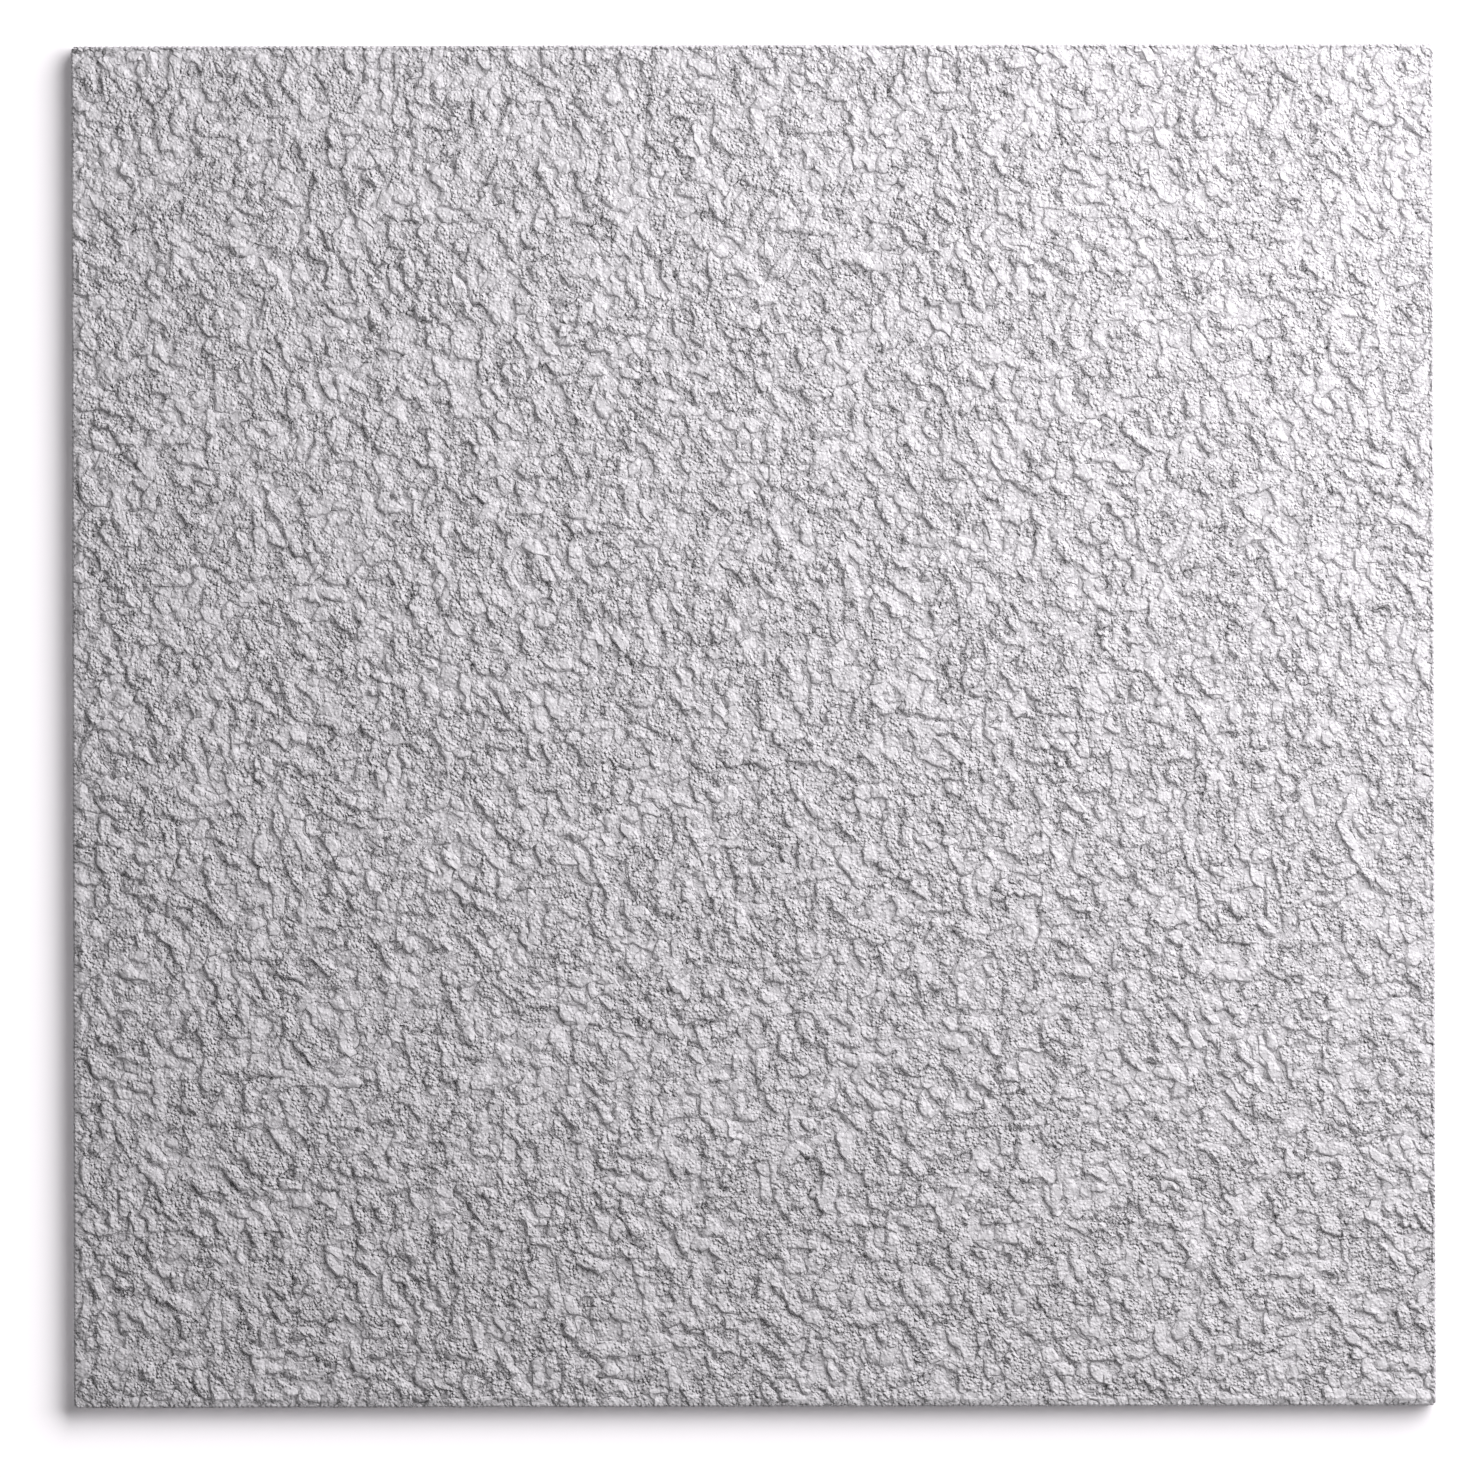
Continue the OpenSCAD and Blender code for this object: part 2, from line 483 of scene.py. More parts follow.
@dataclass(frozen=True)
class Foam:
    """Finish of moulded white bead foam: round beads with gaps, and a fine grain on their skins.

    Beads, pebbles and pits are humps or dips in cells. Each has a size, which is the mean width of
    its cells, a reach in such cells, and a height or depth. Specks are a noise with a size and a
    height. Warp is how far the pebbles are pushed out of round. Patches of the face go from calm to
    rough between a low and a high level of a noise. Hollows between the dabs are rougher, and get
    painted shade by a share. The gaps between beads and pebbles and the pits get painted shade by
    shares of their own. The pearls are the whole beads along the rim, and their reach is in beads.
    Their gaps and middles get painted shade by shares too.
    """

    name: str = "white_bead_foam"
    colour: tuple[float, float, float] = (0.84, 0.81, 0.848)
    roughness: float = 0.6
    ior: float = 1.59
    # Share of painted shade in the hollows between the dabs, where shade would fall
    hollow_shade_share: float = 0.05
    hollow_rough: float = 0.5
    warp: float = 1.2
    warp_wave: float = 3.0
    bead: float = 1.35
    bead_reach: float = 0.62
    bead_height: float = 0.48
    pebble: float = 2.4
    pebble_reach: float = 0.62
    pebble_height: float = 0.38
    # Share of painted shade in the gaps between beads and pebbles, where shade would fall
    gap_shade_share: float = 0.18
    speck: float = 0.8
    speck_height: float = 0.42
    pit: float = 3.4
    pit_reach: float = 0.17
    pit_depth: float = 0.6
    # Share of painted shade in the pits
    pit_shade_share: float = 0.35
    patch: float = 12.0
    patch_low: float = 0.38
    patch_high: float = 0.6
    patch_calm: float = 0.5
    patch_rough: float = 1.4
    layer_share: float = 0.6
    pearl_reach: float = 0.5
    pearl_height: float = 0.3
    # Share of painted shade in the gaps between the rim's beads
    pearl_gap_shade_share: float = 0.5
    # Painted shade in the middles of the rim's beads
    pearl_core_shade: float = 0.12

    def humps(self, nodes: Nodes, place: Socket, size: float, reach: float) -> Socket:
        """Soft round humps in the middles of cells: the square of 1 less the way out squared.

        Args:
            nodes: The material's nodes.
            place: Where the cells are looked up.
            size: Mean width of a cell.
            reach: Where a hump ends, in cells from its middle.

        Returns:
            The height, from 0 between the humps to 1.
        """
        cells = nodes.add("TexVoronoi", {"Vector": place, "Scale": 1 / (size * MM)})
        out = nodes.math("DIVIDE", cells.outputs["Distance"], reach)
        rise = nodes.math("SUBTRACT", 1.0, nodes.math("MULTIPLY", out, out), clamp=True)
        return nodes.math("MULTIPLY", rise, rise)

    def noise(self, nodes: Nodes, place: Socket, size: float, detail: float) -> bpy.types.Node:
        """Smooth noise.

        Args:
            nodes: The material's nodes.
            place: Where the noise is looked up.
            size: Width of its coarsest waves.
            detail: How many finer layers it has, each with the same share of the one before.

        Returns:
            The noise's node.
        """
        inputs = {
            "Vector": place,
            "Scale": 1 / (size * MM),
            "Detail": detail,
            "Roughness": self.layer_share,
        }
        return nodes.add("TexNoise", inputs)

    def patches(self, nodes: Nodes, place: Socket) -> Socket:
        """How rough the grain is from patch to patch.

        Args:
            nodes: The material's nodes.
            place: Where the patches are looked up.

        Returns:
            What the grain's height is multiplied by.
        """
        inputs = {
            "Value": self.noise(nodes, place, self.patch, detail=1.0).outputs["Fac"],
            "From Min": self.patch_low,
            "From Max": self.patch_high,
            "To Min": self.patch_calm,
            "To Max": self.patch_rough,
        }
        return nodes.add("MapRange", inputs).outputs[0]

    def grain(self, nodes: Nodes) -> tuple[Socket, Socket]:
        """Beads, pebbles, specks and pits, rougher in some patches than in others.

        The gaps get painted shade by the square of how far a place lies under the beads' and
        pebbles' tops, and the pits get painted shade too.

        Args:
            nodes: The material's nodes.

        Returns:
            The height in millimetres, and the painted shade: how much darker a place is than the
            beads' tops.
        """
        place = nodes.add("TexCoord").outputs["Object"]
        stray = self.noise(nodes, place, self.warp_wave, detail=0.0).outputs["Color"]
        stray = nodes.vector("SUBTRACT", stray, (0.5, 0.5, 0.5))
        stray = nodes.vector("MULTIPLY", stray, (self.warp * MM,) * 3)
        strayed = nodes.vector("ADD", place, stray)
        specks = self.noise(nodes, place, self.speck, detail=1.0).outputs["Fac"]
        beads = self.humps(nodes, place, self.bead, self.bead_reach)
        pebbles = self.humps(nodes, strayed, self.pebble, self.pebble_reach)
        pits = self.humps(nodes, place, self.pit, self.pit_reach)
        height = nodes.math("MULTIPLY", beads, self.bead_height)
        height = nodes.math("MULTIPLY_ADD", specks, self.speck_height, height)
        height = nodes.math("MULTIPLY_ADD", pebbles, self.pebble_height, height)
        height = nodes.math("MULTIPLY_ADD", pits, -self.pit_depth, height)
        under = nodes.math("SUBTRACT", 1.0, nodes.math("MAXIMUM", beads, pebbles))
        # Painted shade: the gaps between beads and pebbles darken by the square of how far they lie
        # under the tops, and the pits darken too
        gap = nodes.math("MULTIPLY", nodes.math("MULTIPLY", under, under), self.gap_shade_share)
        painted_shade = nodes.math("MULTIPLY_ADD", pits, self.pit_shade_share, gap)
        return nodes.math("MULTIPLY", height, self.patches(nodes, place)), painted_shade

    def relief(self, nodes: Nodes) -> Socket:
        """Height of the dabs, with edges that are finer than the mesh.

        It is the swell and the highest of the dabs that a triangle can show. Each is its height
        times the root of 1 less its reach to the power of the flatness, as on the face's points.

        Args:
            nodes: The material's nodes.

        Returns:
            The height in millimetres.
        """
        top = 0.0
        for reaches, heights in DAB_ATTRIBUTES:
            for reach, high in zip(nodes.parts(reaches), nodes.parts(heights)):
                fall = nodes.math("POWER", nodes.math("MINIMUM", reach, 1.0), SMALL_FLATNESS)
                shape = nodes.math("SQRT", nodes.math("SUBTRACT", 1.0, fall, clamp=True))
                top = nodes.math("MAXIMUM", nodes.math("MULTIPLY", shape, high), top)
        swell = nodes.add("Attribute", attribute_name="swell").outputs["Fac"]
        return nodes.math("ADD", top, swell)

    def pearls(self, nodes: Nodes, upward: Socket) -> tuple[Socket, Socket]:
        """The row of whole beads along the rim.

        A bead's height is the square of 1 less the way out squared. The way out is 1 where the
        bead ends, and the gaps get painted shade with what its square has over 1. The beads' middles
        get painted shade too.

        Args:
            nodes: The material's nodes.
            upward: 1 on the face, where the gaps between the beads show, and 0 on the walls.

        Returns:
            The height in millimetres, and the painted shade: how much darker the beads' middles and
            the gaps are.
        """
        along, inward, _ = nodes.parts("rim")
        along = nodes.math("SUBTRACT", nodes.math("FRACT", along), 0.5)
        across = nodes.math("SUBTRACT", inward, 0.5)
        square = nodes.math("MULTIPLY", across, across)
        square = nodes.math("MULTIPLY_ADD", along, along, square)
        square = nodes.math("MULTIPLY", square, self.pearl_reach**-2)
        pearl = nodes.math("SUBTRACT", 1.0, square, clamp=True)
        pearl = nodes.math("MULTIPLY", pearl, pearl)
        row = nodes.math("MULTIPLY", upward, nodes.math("LESS_THAN", inward, 1.0))
        # Painted shade in the gaps between the rim's beads and in their middles
        gap = nodes.math("MULTIPLY", nodes.math("SUBTRACT", square, 1.0, clamp=True), row)
        gap = nodes.math("MULTIPLY", gap, self.pearl_gap_shade_share)
        painted_shade = nodes.math("MULTIPLY_ADD", pearl, self.pearl_core_shade, gap)
        return nodes.math("MULTIPLY", pearl, self.pearl_height), painted_shade

    def normal(self, nodes: Nodes, upward: Socket) -> Socket:
        """The normal that the height bends.

        The face's points straight up, so that the height alone makes the shading. The walls and the
        back keep the mesh's normal. Sockets 4 and 5 are the two vectors that are mixed.

        Args:
            nodes: The material's nodes.
            upward: 1 on the face and 0 on the walls and the back.

        Returns:
            The normal in the world's frame.
        """
        settings = {"vector_type": "NORMAL", "convert_from": "OBJECT", "convert_to": "WORLD"}
        straight = nodes.add("VectorTransform", {0: (0.0, 0.0, 1.0)}, **settings).outputs[0]
        own = nodes.add("NewGeometry").outputs["Normal"]
        return nodes.add("Mix", {0: upward, 4: own, 5: straight}, data_type="VECTOR").outputs[1]

    def material(self) -> bpy.types.Material:
        """Builds the material.

        Its height is the dabs, the grain, which is rougher in the hollows, and the rim's pearls.

        Returns:
            The material.
        """
        material = bpy.data.materials.new(self.name)
        nodes = Nodes(material)
        calm, hollow, upward = nodes.parts("surface")
        grain, gaps = self.grain(nodes)
        pearls, rim_shade = self.pearls(nodes, upward)
        rough = nodes.math("MULTIPLY_ADD", hollow, self.hollow_rough, calm)
        height = nodes.math("MULTIPLY_ADD", grain, rough, self.relief(nodes))
        height = nodes.math("ADD", height, pearls)
        bump = nodes.add(
            "Bump", {"Height": height, "Distance": MM, "Normal": self.normal(nodes, upward)}
        )
        # Painted shade: the base colour darkens where shade would fall, in the gaps between beads,
        # in pits, in hollows and round the rim's pearls
        painted_shade = nodes.math("ADD", gaps, rim_shade)
        # Painted shade in the hollows between the dabs
        painted_shade = nodes.math("MULTIPLY_ADD", hollow, self.hollow_shade_share, painted_shade)
        inputs = {
            "Base Color": nodes.scaled(self.colour, nodes.math("SUBTRACT", 1.0, painted_shade)),
            "Roughness": self.roughness,
            "IOR": self.ior,
            "Normal": bump.outputs[0],
        }
        shader = nodes.add("BsdfPrincipled", inputs)
        nodes.add("OutputMaterial", {"Surface": shader.outputs[0]})
        return material


@dataclass(frozen=True)
class Ring:
    """One loop of the rim's section, carried round the tile's outline.

    It is drawn in by the inset and lies below the bare ground by the drop. Between two beads it is
    drawn in by the dent too.
    """

    inset: float
    drop: float
    dent: float


class Face(NamedTuple):
    """The rough-cast face on its grid.

    It has each point's row and column of the raster and its place, and each triangle's points.
    """

    rows: np.ndarray
    columns: np.ndarray
    points: np.ndarray
    triangles: np.ndarray


@dataclass
class RoughCastTile:
    """The tile: a rough-cast face on a square grid, a rim of round beads and a flat back.

    The face has so many cells a side, each with so many samples of the relief's raster a side, and
    a point of it may slide by a few samples. The rim has so many parts to a cell. Its beads are a
    little uneven, except for a few at each corner. Between two beads the rim is dented, and it sinks
    by a share of the dent. The foam's grain is calm at the rim, and grows to its full height over a
    strip of the face.
    """

    length: float
    width: float
    thickness: float
    relief_depth: float = 2.0
    rim_fade: float = 2.5
    rim_round: float = 0.8
    corner_radius: float = 2.0
    cells: int = 290
    samples: int = 8
    slide: int = 3
    normal_share: float = 0.7
    rim_parts: int = 3
    rim_bead: float = 2.1
    bead_ripple: float = 0.2
    bead_wave: float = 9.0
    bead_draw: int = 31
    bead_squareness: float = 2.5
    even_beads: int = 4
    dent_sink: float = 0.6
    shoulder: Ring = Ring(inset=0.1, drop=0.3, dent=0.4)
    belt: Ring = Ring(inset=0.0, drop=0.85, dent=0.5)
    calm_rim: float = 0.8
    calm_strip: tuple[float, float] = (1.5, 5.5)
    hollow_reach: int = 14
    hollow_depth: float = 0.5
    foam: Foam = Foam()

    def __post_init__(self) -> None:
        """Presses the dabs into the face."""
        self.ground = self.thickness - self.relief_depth
        self.face_size = (self.length - 2 * self.rim_round, self.width - 2 * self.rim_round)
        self.relief = Relief(
            face=self.face_size,
            tile=(self.length, self.width),
            count=self.cells * self.samples + 1,
            depth=self.relief_depth,
            fade=self.rim_fade,
        )

    def outline(self, u: np.ndarray, v: np.ndarray, inset: float | np.ndarray) -> np.ndarray:
        """Places of a square carried onto the tile's outline with its round corners.

        Inside a corner's square, a place keeps its direction from the corner's centre, and its
        larger side becomes its distance, so that the square's edge lands on the arc.

        Args:
            u: Places along X, from -1 to 1.
            v: Places along Y, from -1 to 1.
            inset: How far the outline is drawn in.

        Returns:
            The places, with x and y last.
        """
        x, y = u * (self.length / 2 - inset), v * (self.width / 2 - inset)
        over_x = np.abs(x) - (self.length / 2 - self.corner_radius)
        over_y = np.abs(y) - (self.width / 2 - self.corner_radius)
        near = (over_x > 0) & (over_y > 0)
        far = np.where(near, np.hypot(over_x, over_y), 1.0)
        pull = np.where(near, np.maximum(over_x, over_y) / far, 1.0)
        x = np.where(near, np.sign(x) * (np.abs(x) - over_x * (1 - pull)), x)
        y = np.where(near, np.sign(y) * (np.abs(y) - over_y * (1 - pull)), y)
        return np.stack([x, y], axis=-1)

    def face_grid(self) -> tuple[np.ndarray, np.ndarray]:
        """Row and column of the raster for each point of the face.

        Each point inside the border slides to the sharpest bend of the relief near it, which is
        where the four next samples differ most from the middle one.

        Returns:
            The rows and the columns, each as a square of the grid's points.
        """
        step, reach, n = self.samples, self.slide, self.cells + 1
        window, start = 2 * reach + 1, step - reach
        near = box_mean(self.relief.height, 1)
        beside = near[:-2, 1:-1] + near[2:, 1:-1] + near[1:-1, :-2] + near[1:-1, 2:]
        bend = np.zeros_like(near)
        bend[1:-1, 1:-1] = np.abs(beside - 4 * near[1:-1, 1:-1])
        windows = np.lib.stride_tricks.sliding_window_view(bend, (window, window))
        windows = windows[start::step, start::step][: n - 2, : n - 2]
        sharpest = windows.reshape(n - 2, n - 2, -1).argmax(axis=-1)
        rows, columns = np.meshgrid(np.arange(n) * step, np.arange(n) * step, indexing="ij")
        rows[1:-1, 1:-1] += sharpest // window - reach
        columns[1:-1, 1:-1] += sharpest % window - reach
        return rows, columns

    @staticmethod
    def plan_area(points: np.ndarray, triangles: np.ndarray) -> np.ndarray:
        """Twice the area of triangles in plan: the cross product of two of their sides.

        Args:
            points: The points.
            triangles: The points of each triangle, with the three last.

        Returns:
            The areas, below 0 where a triangle is folded over.
        """
        start, second, third = (points[triangles[..., n]] for n in range(3))
        s, t = second - start, third - start
        return s[..., 0] * t[..., 1] - s[..., 1] * t[..., 0]

    def miss(self, points: np.ndarray, start: np.ndarray, end: np.ndarray) -> np.ndarray:
        """How far the middles of diagonals lie from the relief.

        Args:
            points: The points.
            start: The point where each diagonal starts.
            end: The point where each diagonal ends.

        Returns:
            The distances along Z.
        """
        x, y, z = ((points[start] + points[end]) / 2).T
        return np.abs(z - self.ground - self.relief.at(self.relief.height, x, y))

    def face_triangles(self, points: np.ndarray) -> np.ndarray:
        """Two triangles to a cell, cut along the diagonal that lies nearer to the relief.

        A cut that folds a triangle over gives way to the other one.

        Args:
            points: Points of the face's grid, in one list.

        Returns:
            The three points of each triangle.
        """
        n = self.cells + 1
        index = np.arange(n * n).reshape(n, n)
        a, b = index[:-1, :-1].ravel(), index[:-1, 1:].ravel()
        c, d = index[1:, 1:].ravel(), index[1:, :-1].ravel()
        rising = np.array([[a, b, c], [a, c, d]]).transpose(0, 2, 1)
        falling = np.array([[a, b, d], [b, c, d]]).transpose(0, 2, 1)
        rising_sound, falling_sound = (
            self.plan_area(points, cut).min(axis=0) > 0 for cut in (rising, falling)
        )
        rising_nearer = self.miss(points, a, c) < self.miss(points, b, d)
        rises = rising_sound & (~falling_sound | rising_nearer)
        triangles = np.where(rises[:, None], rising, falling).reshape(-1, 3)
        log.info("folded triangles: %d", int((self.plan_area(points, triangles) <= 0).sum()))
        return triangles

    def shape_face(self) -> Face:
        """Lays the face's grid over the relief.

        Returns:
            The face.
        """
        rows, columns = self.face_grid()
        u = self.relief.x[columns] / (self.face_size[0] / 2)
        v = self.relief.y[rows] / (self.face_size[1] / 2)
        place = self.outline(u, v, self.rim_round).reshape(-1, 2)
        points = np.column_stack([place, self.ground + self.relief.height[rows, columns].ravel()])
        return Face(rows, columns, points, self.face_triangles(points))

    def face_normals(self, face: Face) -> np.ndarray:
        """Normal of the fine relief just inside each corner of each triangle.

        Args:
            face: The face.

        Returns:
            A unit normal for each corner.
        """
        corners = face.points[face.triangles]
        middle = corners.mean(axis=1, keepdims=True)
        inside = middle + self.normal_share * (corners - middle)
        near = box_mean(self.relief.height, 1)
        rise_y, rise_x = np.gradient(near, self.relief.y, self.relief.x)
        x, y = inside[..., 0], inside[..., 1]
        lean_x, lean_y = -self.relief.at(rise_x, x, y), -self.relief.at(rise_y, x, y)
        normals = np.stack([lean_x, lean_y, np.ones_like(lean_x)], axis=-1)
        return normals / np.linalg.norm(normals, axis=-1, keepdims=True)

    def bead_phase(self, run: np.ndarray) -> np.ndarray:
        """Count of rim beads up to a place along a side, a little uneven.

        The count starts and ends in the middle of a corner's bead, which two sides share.

        Args:
            run: Places along the side, from the middle of it.

        Returns:
            The count at each place. The middles of the beads have a half in it.
        """
        half = (self.length - self.rim_bead) / 2
        beads = round(2 * half / self.rim_bead)
        uneven = self.bead_ripple * ease((half - np.abs(run)) / (self.even_beads * self.rim_bead))
        even = (run / half + 1) * beads / 2 + 0.5
        return even + uneven * ripple(run, 0.0, self.bead_wave, self.bead_draw)

    def rim_loops(self) -> np.ndarray:
        """Points of the rim's loops, drawn in between its beads.

        A gap is 1 less the root of 1 less the way from a bead's middle, which is 1 at its end, to
        the power of the squareness.

        Returns:
            The points, by loop and place, with x, y and z last.
        """
        parts = self.cells * self.rim_parts
        side = np.arange(parts) / parts * 2 - 1
        one = np.ones_like(side)
        u = np.concatenate([side, one, -side, -one])
        v = np.concatenate([-one, side, one, -side])
        run = np.concatenate([side, side, -side, -side]) * self.length / 2
        way = 2 * np.abs(self.bead_phase(run) % 1 - 0.5)
        gap = 1 - np.sqrt(np.clip(1 - way**self.bead_squareness, 0, 1))
        loops = []
        for ring in (self.shoulder, self.belt, Ring(inset=0.0, drop=self.ground, dent=0.0)):
            dent = ring.dent * gap
            place = self.outline(u, v, ring.inset + dent)
            height = self.ground - ring.drop - self.dent_sink * dent
            loops.append(np.column_stack([place, height]))
        return np.stack(loops)

    def rim_faces(self, rings: int) -> list[list[int]]:
        """Faces from the face's border over the rim's loops, and the back.

        Each edge of the border meets as many parts of the first loop as a cell has. Those up to the
        middle one fan out from the edge's start, and the others from its end.

        Args:
            rings: How many loops the rim has.

        Returns:
            The points of each face, with the back last.
        """
        n, parts = self.cells + 1, self.rim_parts
        index = np.arange(n * n).reshape(n, n)
        border = [index[0, :-1], index[:-1, -1], index[-1, :0:-1], index[:0:-1, 0]]
        border = np.concatenate(border)
        after = np.roll(border, -1)
        loops = n * n + np.arange(rings * len(border) * parts).reshape(rings, -1)
        first = loops[0]
        faces = []
        for part in range(parts):
            here, there = first[part::parts], np.roll(first, -1)[part::parts]
            faces += np.stack([border if part <= parts // 2 else after, here, there], 1).tolist()
            if part == parts // 2:
                faces += np.stack([border, there, after], 1).tolist()
        for upper, lower in zip(loops[:-1], loops[1:]):
            strip = [upper, lower, np.roll(lower, -1), np.roll(upper, -1)]
            faces += np.stack(strip, 1).tolist()
        return faces + [loops[-1][::-1].tolist()]

    def dab_values(self, face: Face) -> np.ndarray:
        """Reach and height of the six dabs that a triangle can show, at each of its corners.

        They are those that own the relief at its corners and at the middles of its sides, so that
        two triangles share what shows on their common side. A dab that comes twice counts once.

        Args:
            face: The face.

        Returns:
            Reaches and heights, by triangle, corner and dab.
        """
        relief = self.relief
        corners = face.points[face.triangles]
        sides = (corners + np.roll(corners, 1, axis=1)) / 2
        places = np.concatenate([corners, sides], axis=1)
        owner = np.sort(relief.at(relief.owner, places[..., 0], places[..., 1]), axis=1)
        spare = owner < 0
        spare[:, 1:] |= owner[:, 1:] == owner[:, :-1]
        table = np.array(relief.small_dabs)[np.maximum(owner, 0)][:, None]
        dabs = Dab(*np.moveaxis(table, -1, 0))
        across, along = (
            field[face.rows, face.columns].ravel()[face.triangles][..., None]
            for field in (relief.across, relief.along)
        )
        crest = np.clip(dabs.crest(across, along), 0.0, 1.0) * relief.lift
        return np.stack([dabs.reach(across, along), np.where(spare[:, None], 0.0, crest)])

    @staticmethod
    def mark(mesh: bpy.types.Mesh, name: str, domain: Domain, values: np.ndarray) -> None:
        """Stores an attribute.

        Args:
            mesh: The mesh that gets it.
            name: Its name.
            domain: What it has a value for.
            values: A number or a vector for each point or corner.
        """
        kind, key = ("FLOAT_VECTOR", "vector") if values.ndim > 1 else ("FLOAT", "value")
        attribute = mesh.attributes.new(name, kind, domain.value)
        attribute.data.foreach_set(key, values.astype(np.float32).ravel())

    def mark_points(self, mesh: bpy.types.Mesh, points: np.ndarray, face: Face) -> None:
        """Stores what the foam's nodes read at the mesh's points.

        That is the swell of the broad dabs, how strong the grain is, how hollow the place is, 1 if
        it looks upward, and where it lies in the rim's row of beads. A place is hollow by what it
        lies under the mean height round it.

        Args:
            mesh: The tile's mesh.
            points: Its points, with the face's grid first and then the shoulder.
            face: The face.
        """
        count, on_face = len(points), len(face.points)
        shoulder = on_face + 4 * self.cells * self.rim_parts
        side = np.array([self.length / 2, self.width / 2]) - np.abs(points[:, :2])
        inward = side.min(axis=1)
        swell = np.zeros(count)
        swell[:on_face] = self.relief.swell[face.rows, face.columns].ravel()
        low = box_mean(self.relief.height, self.hollow_reach) - self.relief.height
        hollow = np.clip(low[face.rows, face.columns].ravel() / self.hollow_depth, 0, 1)
        start, end = self.calm_strip
        surface = np.zeros((count, 3))
        surface[:, 0] = self.calm_rim + (1 - self.calm_rim) * ease((inward - start) / (end - start))
        surface[:on_face, 1] = hollow
        surface[:shoulder, 2] = 1.0
        run = np.where(side[:, 0] < side[:, 1], points[:, 1], points[:, 0])
        rim = np.stack([self.bead_phase(run), inward / self.rim_bead, np.zeros(count)], axis=1)
        self.mark(mesh, "swell", Domain.POINT, swell)
        self.mark(mesh, "surface", Domain.POINT, surface)
        self.mark(mesh, "rim", Domain.POINT, rim)

    def mark_dabs(self, mesh: bpy.types.Mesh, face: Face) -> None:
        """Stores the reaches and heights of each triangle's dabs, three to a vector.

        Args:
            mesh: The tile's mesh, with the face's triangles first.
            face: The face.
        """
        values = self.dab_values(face)
        for group, names in enumerate(DAB_ATTRIBUTES):
            for name, value in zip(names, values):
                corner = np.zeros((len(mesh.loops), 3))
                three = value[..., 3 * group : 3 * group + 3]
                corner[: face.triangles.size] = three.reshape(-1, 3)
                self.mark(mesh, name, Domain.CORNER, corner)

    def build(self) -> bpy.types.Object:
        """Makes the closed mesh and dresses it.

        Returns:
            The tile's object.
        """
        face = self.shape_face()
        loops = self.rim_loops()
        points = np.concatenate([face.points, loops.reshape(-1, 3)])
        faces = face.triangles.tolist() + self.rim_faces(len(loops))
        mesh = bpy.data.meshes.new(PIECE)
        mesh.from_pydata((points * MM).tolist(), [], faces)
        mesh.polygons.foreach_set("use_smooth", np.arange(len(faces)) < len(faces) - 1)
        self.mark_points(mesh, points, face)
        self.mark_dabs(mesh, face)
        mesh.update()
        normals = np.zeros((len(mesh.loops), 3))
        normals[: face.triangles.size] = self.face_normals(face).reshape(-1, 3)
        mesh.normals_split_custom_set(normals.tolist())
        mesh.materials.append(self.foam.material())
        tile = bpy.data.objects.new(PIECE, mesh)
        bpy.context.scene.collection.objects.link(tile)
        return tile


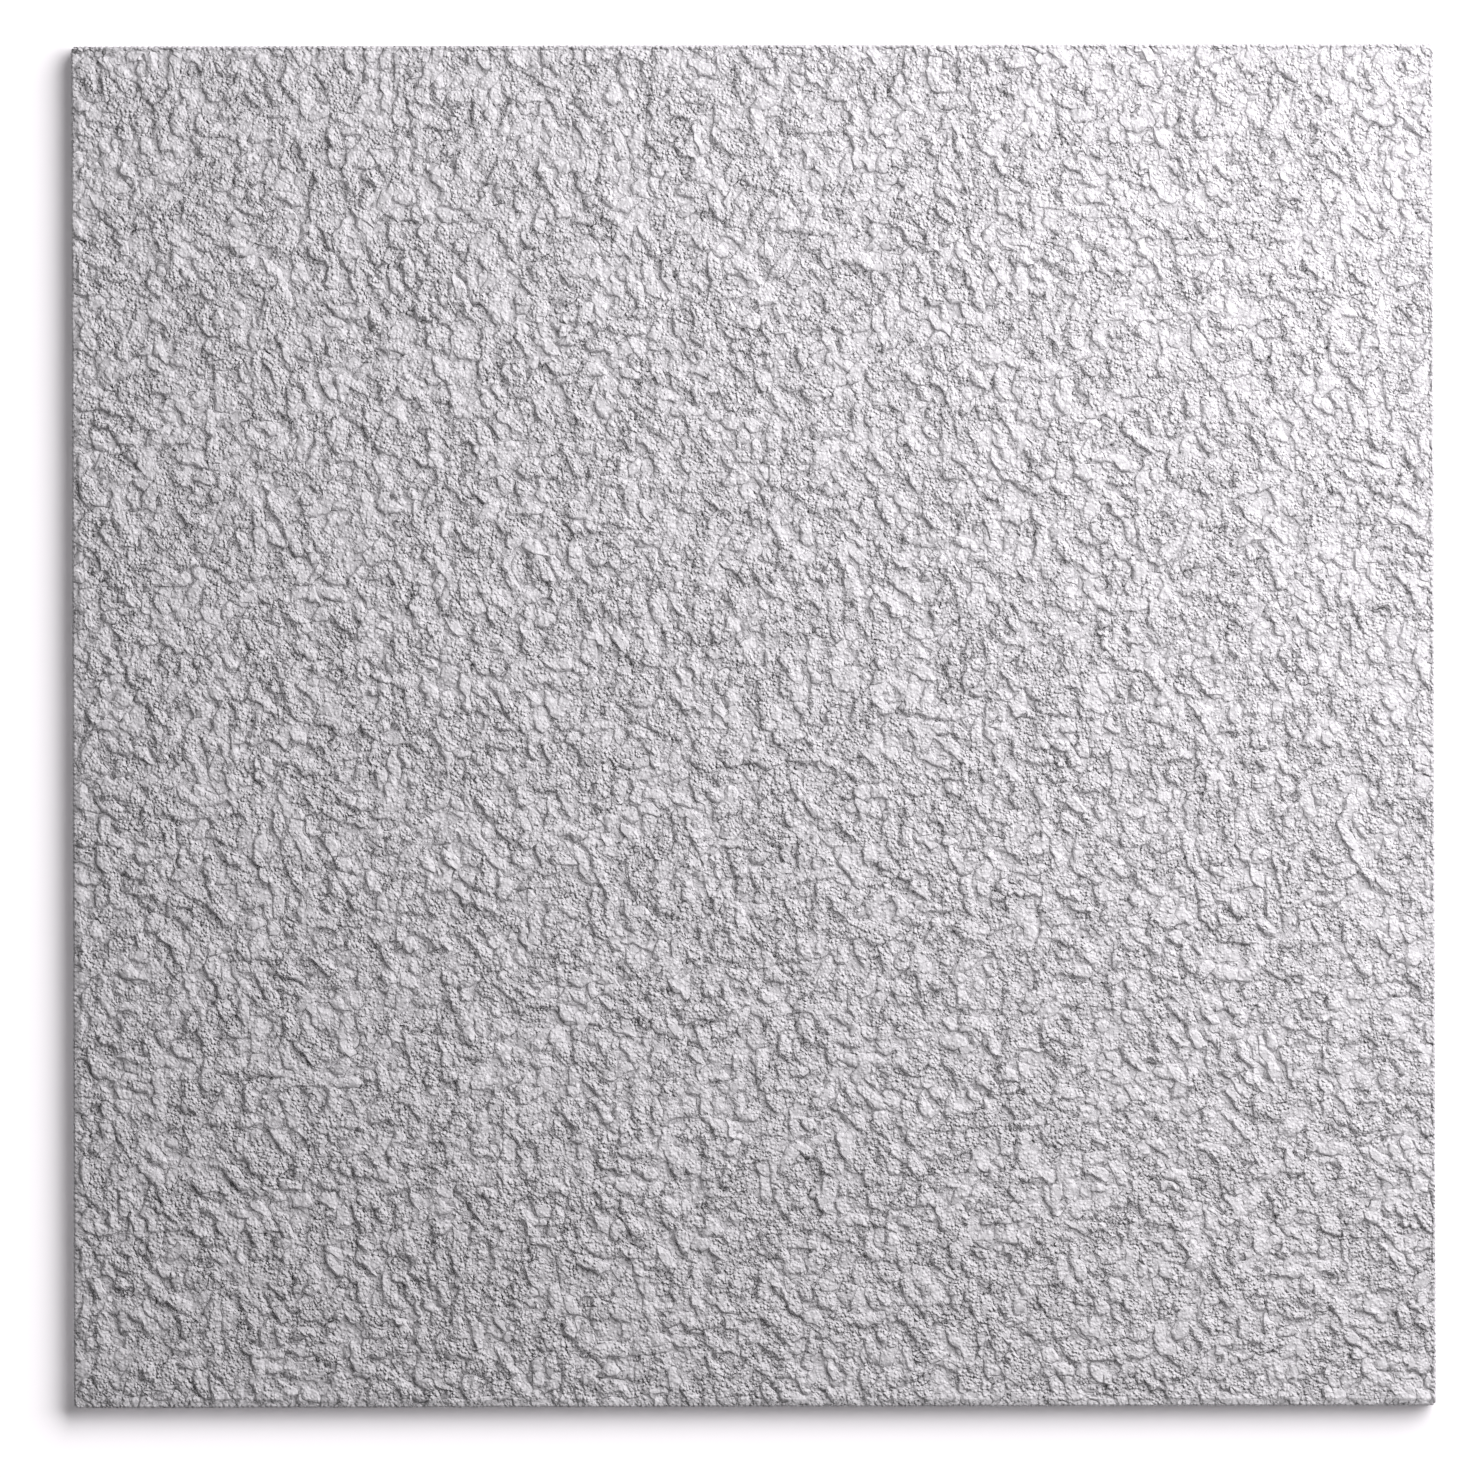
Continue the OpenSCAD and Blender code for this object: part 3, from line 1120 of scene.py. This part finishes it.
@dataclass
class Studio:
    """Floor, light and camera.

    The image and the tile in it are in pixels, and angles are in degrees. The lens, the sensor and
    the floor's gap under the tile are in millimetres. The camera's reach, the key light's distance
    and size and the floor's side are in metres.
    """

    image: tuple[int, int] = (1480, 1478)
    tile_pixels: float = 1363.0
    tile_middle: tuple[float, float] = (753.6, 725.9)
    roll: float = 0.126
    lens: float = 200.0
    sensor: float = 36.0
    camera_reach: float = 100.0
    key_azimuth: float = 38.7
    key_elevation: float = 41.0
    key_distance: float = 1.06
    key_size: tuple[float, float] = (1.6, 1.25)
    key_power: float = 19.5
    fill: float = 0.05
    floor_side: float = 12.0
    floor_gap: float = 0.1
    floor_colour: float = 0.8
    floor_seen: float = 1.2
    floor_glow: float = 0.13
    floor_tint: tuple[float, float, float] = (1.0, 0.965, 1.0)

    def seen(self, nodes: Nodes) -> Socket:
        """Tells what the camera sees, straight or in a mirror or a glass, from other light.

        Args:
            nodes: Nodes of the material or the world.

        Returns:
            1 for what the camera sees and 0 for other light.
        """
        path = nodes.add("LightPath").outputs
        mirrored = nodes.math("ADD", path["Is Glossy Ray"], path["Is Transmission Ray"])
        return nodes.math("ADD", path["Is Camera Ray"], mirrored, clamp=True)

    def key_place(self) -> tuple[float, float, float]:
        """Turns the key light's azimuth, elevation and distance into a place.

        Returns:
            Where the middle of the light hangs.
        """
        azimuth, elevation = math.radians(self.key_azimuth), math.radians(self.key_elevation)
        level, height = (self.key_distance * way(elevation) for way in (math.cos, math.sin))
        return level * math.cos(azimuth), level * math.sin(azimuth), height

    def floor_material(self) -> bpy.types.Material:
        """Builds the white floor's material, which keeps the tile's shadow.

        What is seen of it grows by the square of the way to the key light, which evens out the
        light's fall-off, so that the floor is just white up to the shadow.

        Returns:
            The material.
        """
        material = bpy.data.materials.new("white_floor")
        nodes = Nodes(material)
        plain = nodes.add("BsdfDiffuse", {"Color": (*[self.floor_colour] * 3, 1)})
        place = nodes.add("TexCoord").outputs["Object"]
        way = nodes.add("VectorMath", {0: place, 1: self.key_place()}, operation="DISTANCE")
        square = nodes.math("MULTIPLY", way.outputs["Value"], way.outputs["Value"])
        level = nodes.math("MULTIPLY", square, self.floor_seen / self.key_distance**2)
        bright = nodes.add("BsdfDiffuse", {"Color": nodes.scaled(self.floor_tint, level)})
        glow = nodes.add("Emission", {"Color": (*self.floor_tint, 1), "Strength": self.floor_glow})
        lit = nodes.add("AddShader", {0: bright.outputs[0], 1: glow.outputs[0]})
        mix = nodes.add(
            "MixShader", {0: self.seen(nodes), 1: plain.outputs[0], 2: lit.outputs[0]}
        )
        nodes.add("OutputMaterial", {"Surface": mix.outputs[0]})
        return material

    def floor(self) -> None:
        """Lays the floor just under the tile."""
        mesh = bpy.data.meshes.new("floor")
        half, down = self.floor_side / 2, -self.floor_gap * MM
        spots = [(-half, -half, down), (half, -half, down), (half, half, down), (-half, half, down)]
        mesh.from_pydata(spots, [], [range(4)])
        mesh.materials.append(self.floor_material())
        floor = bpy.data.objects.new("floor", mesh)
        bpy.context.scene.collection.objects.link(floor)
        floor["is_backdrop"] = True

    def light(self) -> None:
        """Hangs the key light, which faces the middle of the tile, and sets the fill.

        The fill comes from all sides, and the camera sees plain white in its place.
        """
        lamp = bpy.data.lights.new("key", "AREA")
        lamp.shape = "ELLIPSE"
        lamp.size, lamp.size_y = self.key_size
        lamp.energy = self.key_power
        key = bpy.data.objects.new("key", lamp)
        bpy.context.scene.collection.objects.link(key)
        key.location = self.key_place()
        tip, turn = math.radians(90 - self.key_elevation), math.radians(90 + self.key_azimuth)
        key.rotation_euler = (tip, 0, turn)
        world = bpy.data.worlds.new("studio")
        bpy.context.scene.world = world
        nodes = Nodes(world)
        fill = nodes.add("Background", {"Color": (1, 1, 1, 1), "Strength": self.fill})
        white = nodes.add("Background", {"Color": (1, 1, 1, 1), "Strength": 1.0})
        mix = nodes.add(
            "MixShader", {0: self.seen(nodes), 1: fill.outputs[0], 2: white.outputs[0]}
        )
        nodes.add("OutputWorld", {"Surface": mix.outputs[0]})

    def camera(self, length: float, top: float) -> None:
        """Sets the camera over the tile, as far off as makes the tile as large as it is seen.

        It looks straight down. Its distance is the image's width at the tile, times the lens over
        the sensor. What the tile's middle lies off the image's middle is taken to metres and turned
        back by the roll, and the camera stands as far to the other side.

        Args:
            length: Length of the tile.
            top: Height of its face.
        """
        data = bpy.data.cameras.new("camera")
        data.lens = self.lens
        data.sensor_width = self.sensor
        data.clip_end = self.camera_reach
        pixel = length * MM / self.tile_pixels
        distance = pixel * self.image[0] * self.lens / self.sensor
        roll = math.radians(self.roll)
        aside = (self.tile_middle[0] - self.image[0] / 2) * pixel
        above = (self.image[1] / 2 - self.tile_middle[1]) * pixel
        camera = bpy.data.objects.new("camera", data)
        bpy.context.scene.collection.objects.link(camera)
        camera.location = (
            -(math.cos(roll) * aside + math.sin(roll) * above),
            math.sin(roll) * aside - math.cos(roll) * above,
            distance + top * MM,
        )
        camera.rotation_euler = (0, 0, -roll)
        bpy.context.scene.camera = camera


def corners() -> list[list[float]]:
    """Lowest and highest corner of what is shown, as plain lists."""
    return [list(corner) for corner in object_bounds()]


def main() -> None:
    """Builds the tile and the studio."""
    logging.basicConfig(level=logging.INFO, format="%(message)s")
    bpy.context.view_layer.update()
    low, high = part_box(CAD_NODE)
    size = (high - low) / MM
    design = RoughCastTile(size.x, size.y, size.z)
    tile = design.build()
    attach(tile, BODY)
    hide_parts(CAD_NODE)
    triangles = len(tile.data.loops) - 2 * len(tile.data.polygons)
    log.info("%s: %d triangles", tile.name, triangles)
    studio = Studio()
    studio.floor()
    studio.light()
    studio.camera(size.x, size.z - design.relief_depth / 2)
    bpy.context.scene.view_settings.view_transform = "Standard"


if __name__ == "__main__":
    main()
